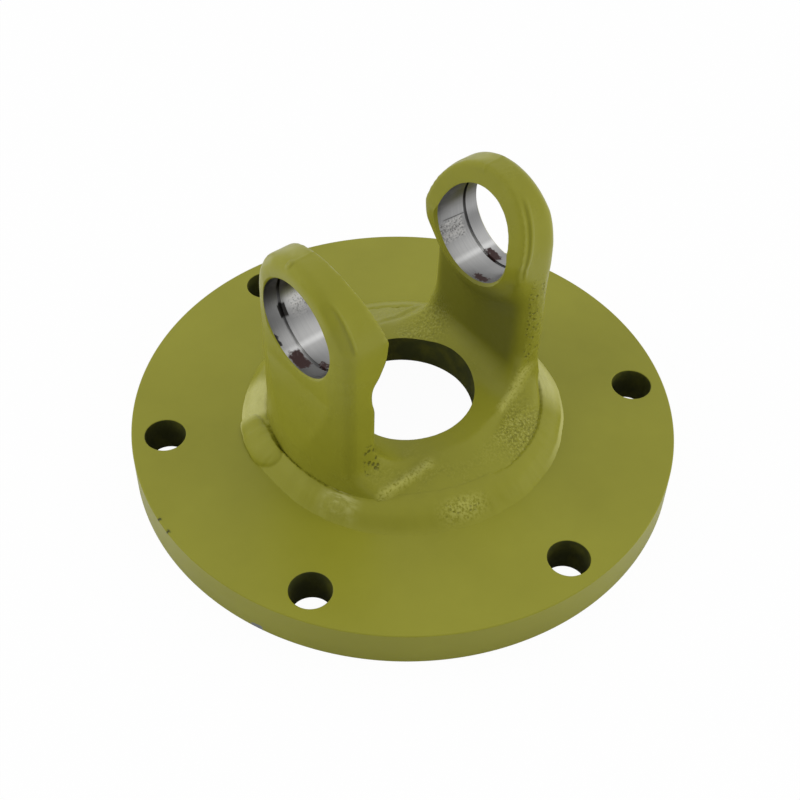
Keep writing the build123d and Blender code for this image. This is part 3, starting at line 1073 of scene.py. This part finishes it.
# %% Colour of the bored steel
STEEL_DARK = (0.22, 0.22, 0.222)
STEEL_MID = (0.47, 0.47, 0.465)
# The bright tone and the glint are painted reflections.
STEEL_PAINTED_REFLECTION = (0.80, 0.795, 0.78)
STEEL_PAINTED_GLINT = (0.90, 0.90, 0.89)
STEEL_WORN = (0.86, 0.84, 0.80)
# Brown for worn specks, and for the painted dark reflection in the roof of the bore.
STEEL_STAIN_AND_DARK_REFLECTION = (0.060, 0.056, 0.042)


def seat_angle(finish):
    """The angle round the seats' axis: 0 towards +Y and -90 at the bottom."""
    return finish.turned(finish.z - SEAT_HEIGHT / MM, finish.y)


def steel_colour(finish, cloud, rings, speck, worn):
    """Grey steel with painted reflections, a bright band and a glint low in the bore and a dark brown roof,
    and hatching where it is worn.
    """
    angle = seat_angle(finish)
    out = finish.x.absolute()
    left = finish.x.step(*LEFT_EAR)
    ribs = finish.noise(1.0, detail=2.0, roughness=0.6, seed=8.0, stretch=(0.12, 1.6, 1.6))
    tone = (cloud * 0.6 + rings * 0.5 - 0.05).least(1.0).most(0.0)
    colour = finish.mix(tone, STEEL_DARK, STEEL_MID)
    # Painted reflection: a bright band low in the bore.
    painted_bright_band = angle.hill(-62.0, 34.0).most(left * angle.hill(-16.0, 30.0) * out.step(36.0, 34.0))
    colour = finish.mix(painted_bright_band * (0.30 + 0.4 * rings), colour, STEEL_PAINTED_REFLECTION)
    # Painted reflection: a narrow glint.
    colour = finish.mix(angle.hill(-67.5, 6.5) * (0.5 + 0.5 * rings), colour, STEEL_PAINTED_GLINT)
    hatch = (ribs.step(0.44, 0.60) * 0.6 + speck.step(0.45, 0.60) * 0.5).least(1.0)
    colour = finish.mix(worn * hatch * 0.50, colour, STEEL_WORN)
    colour = finish.mix(worn * speck.step(0.44, 0.34) * 0.5, colour, STEEL_STAIN_AND_DARK_REFLECTION)
    # Painted reflection: the roof of the bore is darkened to brown.
    dark_roof_reflection = angle.step(-18.0, 10.0) * (0.45 + 0.35 * left + 0.35 * ribs).least(0.95)
    return finish.mix(dark_roof_reflection, colour, STEEL_STAIN_AND_DARK_REFLECTION)


# %% Stains in the bores
RUST = (0.050, 0.022, 0.020)
GREASE = (0.016, 0.014, 0.012)
PATCH_EDGE = (0.08, 0.43)


def patch_of(value, centre, reach):
    """1 within reach of the centre, with a soft edge."""
    return value.hill(centre, reach).step(*PATCH_EDGE)


def bore_stains(finish):
    """Where brown stains and dark grease lie."""
    angle = seat_angle(finish)
    out = finish.x.absolute()
    left = finish.x.step(*LEFT_EAR)
    right = 1.0 - left
    ragged = finish.noise(1.6, detail=5.0, roughness=0.7, seed=31.0) - 0.5
    ragged_angle = angle + 34.0 * ragged
    ragged_out = out + 3.4 * ragged

    slot = (out - 36.3 - 0.02 * (angle + 24.0)).absolute().step(1.45, 1.25)
    slot = slot * patch_of(angle + 5.0 * ragged, -24.0, 12.5)
    edge_stain = ragged_out.step(40.9, 41.5) * patch_of(ragged_angle, -50.0, 11.0)
    puddle = patch_of(ragged_out, 39.4, 3.2) * patch_of(ragged_angle, -82.0, 19.0)
    drop = patch_of(ragged_out, 35.4, 2.1) * patch_of(ragged_angle, -107.0, 8.0)
    scratch = (angle + 17.0 + 0.27 * (out - 26.0)).hill(0.0, 1.2) * patch_of(out, 32.0, 6.5)
    inner_stain = patch_of(ragged_out, 27.4, 1.8) * patch_of(ragged_angle, -106.0, 17.0)
    outer_stain = patch_of(ragged_out, 38.2, 2.3) * patch_of(ragged_angle, -83.0, 14.0)
    rust = (left * puddle.most(drop)).most(right * inner_stain.most(outer_stain)).least(1.0)
    grease = (left * slot.most(edge_stain)).most(right * scratch * 0.7).least(1.0)
    return rust, grease


# %% Finish the bores
RING_HEIGHT = 0.010
HATCH_HEIGHT = 0.018


def finish_bores():
    """Bright steel, its stains and a fine relief."""
    finish = Finish(bare_steel)
    rings = finish.noise(1.0, detail=3.0, roughness=0.6, seed=3.0, stretch=(4.0, 0.04, 0.04))
    cloud = finish.noise(9.0, detail=3.0, seed=12.0)
    speck = finish.noise(0.65, detail=1.0, seed=21.0)
    angle = seat_angle(finish)
    out = finish.x.absolute()
    left = finish.x.step(*LEFT_EAR)
    worn_left = left * angle.hill(-23.0, 22.0) * out.step(34.5, 32.5)
    worn_right = (1.0 - left) * angle.hill(-32.0, 18.0).step(0.0, 0.5) * out.step(35.8, 34.0)
    worn = worn_left.most(worn_right)
    colour = steel_colour(finish, cloud, rings, speck, worn)
    rust, grease = bore_stains(finish)
    colour = finish.mix(rust, colour, RUST)
    colour = finish.mix(grease, colour, GREASE)
    stain = rust.most(grease)
    normal = finish.bump(rings, RING_HEIGHT)
    normal = finish.bump(speck * worn, HATCH_HEIGHT, below=normal)
    finish.done(colour, 0.27 + 0.12 * cloud + 0.30 * stain, normal, metallic=1.0 - 0.85 * stain)


finish_bores()
print_nodes(bare_steel)

# %% [markdown]
# ## Floor
#
# The photograph is a product shot in a light tent. The camera sees the floor as pure white, while other
# rays find a pale matt sheet that throws soft light back up. Reflections see it white only away from the
# object, so the web bore does not glow from below.


# %% Lay the floor
FLOOR_DROP = 0.02 * MM
FLOOR_PALE = 0.75
FLOOR_SHINE = 0.7
WHITE_SHARE = 0.97
SHINE_STARTS = 70 * MM
SHINE_FULL = 150 * MM


def make_floor():
    """A large sheet just below the disc: white to the camera, matt to the light."""
    bpy.ops.object.select_all(action="DESELECT")
    bpy.ops.mesh.primitive_plane_add(size=8, location=(0, 0, -FLOOR_DROP))
    floor = bpy.context.object
    floor.name = "floor"
    material = new_material("floor_white")
    graph = Graph(material.node_tree)
    place = graph.node("ShaderNodeTexCoord", output="Object")
    away = graph.node("ShaderNodeVectorMath", {"operation": "LENGTH"}, {0: place}, output="Value")
    seen = graph.node("ShaderNodeLightPath", output="Is Camera Ray")
    seen = seen.most(graph.node("ShaderNodeLightPath", output="Is Transmission Ray"))
    glossy = graph.node("ShaderNodeLightPath", output="Is Glossy Ray")
    seen = seen.most(glossy * FLOOR_SHINE * away.step(SHINE_STARTS, SHINE_FULL))
    matt = graph.node("ShaderNodeBsdfDiffuse", {}, {"Color": (FLOOR_PALE, FLOOR_PALE, FLOOR_PALE, 1)})
    white = graph.node("ShaderNodeEmission", {}, {"Strength": 1.0})
    surface = graph.node("ShaderNodeMixShader", {}, {0: seen * WHITE_SHARE, 1: matt, 2: white})
    graph.node("ShaderNodeOutputMaterial", {}, {"Surface": surface})
    floor.data.materials.append(material)


make_floor()
print("floor:", FLOOR_DROP / MM, "mm below the disc")

# %% [markdown]
# ## Light
#
# The tent is brighter behind the object than in front of it, both in the light that it sends and in what
# the enamel reflects. The camera itself sees plain white. Three softboxes add the broad light from the
# left, the right and low in front; reflections do not see them.

# %% Light the tent
TENT_BACK = (0.55, 0.72, 0.42)
TENT_FRONT_LIGHT = 0.34
TENT_BACK_LIGHT = 1.08
TENT_FRONT_SHINE = 0.36
TENT_BACK_SHINE = 0.80
SOFTBOX_AIM = (0, 0, 0.04)
# Each softbox: name, place, width and height in metres, power in watts.
SOFTBOXES = [
    ("left_box", (-0.60, 0.40, 0.40), (0.50, 0.30), 1.9),
    ("right_box", (0.50, -0.50, 0.22), (0.50, 0.30), 1.9),
    ("front_box", (-0.36, -0.62, 0.14), (0.50, 0.25), 0.3),
]


def make_world():
    """A white tent whose strength grows from front to back."""
    world = bpy.data.worlds.new("tent")
    bpy.context.scene.world = world
    world.use_nodes = True
    graph = Graph(world.node_tree)
    direction = graph.node("ShaderNodeTexCoord", output="Generated")
    behind = graph.node("ShaderNodeVectorMath", {"operation": "DOT_PRODUCT"},
                        {0: direction, 1: TENT_BACK}, output="Value")
    light = TENT_FRONT_LIGHT + (TENT_BACK_LIGHT - TENT_FRONT_LIGHT) * behind.step(-1.0, 1.0)
    shine = TENT_FRONT_SHINE + (TENT_BACK_SHINE - TENT_FRONT_SHINE) * behind.step(-0.7, 0.2)
    glossy = graph.node("ShaderNodeLightPath", output="Is Glossy Ray")
    level = glossy * shine + (1.0 - glossy) * light
    level = level.most(graph.node("ShaderNodeLightPath", output="Is Camera Ray"))
    tent = graph.node("ShaderNodeBackground", {}, {"Color": (1, 1, 1, 1), "Strength": level})
    graph.node("ShaderNodeOutputWorld", {}, {"Surface": tent})


def turned_to(place, aim):
    """The rotation of a lamp or camera that stands at place and looks at aim."""
    return (Vector(aim) - Vector(place)).to_track_quat("-Z", "Y")


def make_softbox(name, place, size, power):
    """One rectangular lamp that looks at the object."""
    light = bpy.data.lights.new(name, "AREA")
    light.shape = "RECTANGLE"
    light.size, light.size_y = size
    light.energy = power
    lamp = bpy.data.objects.new(name, light)
    lamp.location = place
    lamp.rotation_euler = turned_to(place, SOFTBOX_AIM).to_euler()
    lamp.visible_glossy = False
    bpy.context.scene.collection.objects.link(lamp)


make_world()
for softbox in SOFTBOXES:
    make_softbox(*softbox)
print("softboxes:", [name for name, *_ in SOFTBOXES])

# %% [markdown]
# ## Camera
#
# The camera stands where the photographer's stood. Its place, aim, roll and lens were fitted to the
# disc's ellipse and the two bores in the photograph.

# %% Place the camera
CAMERA_PLACE = (-0.20220, -0.23348, 0.34374)
CAMERA_AIM = (-0.0085, -0.0080, 0.0300)
CAMERA_ROLL = 1.65
CAMERA_LENS = 60.84


def make_camera():
    """Stand the camera where it was fitted."""
    camera = bpy.data.objects.new("camera", bpy.data.cameras.new("camera"))
    camera.data.lens = CAMERA_LENS
    camera.data.sensor_width = 36
    camera.data.clip_start = 0.02
    camera.data.clip_end = 20
    look = turned_to(CAMERA_PLACE, CAMERA_AIM).to_matrix()
    turn = look @ Matrix.Rotation(math.radians(CAMERA_ROLL), 3, "Z")
    camera.location = CAMERA_PLACE
    camera.rotation_euler = turn.to_euler()
    bpy.context.scene.collection.objects.link(camera)
    bpy.context.scene.camera = camera


make_camera()
bpy.context.scene.view_settings.view_transform = "Standard"
print(f"camera {Vector(CAMERA_PLACE).length:.3f} m from the origin, lens {CAMERA_LENS} mm")
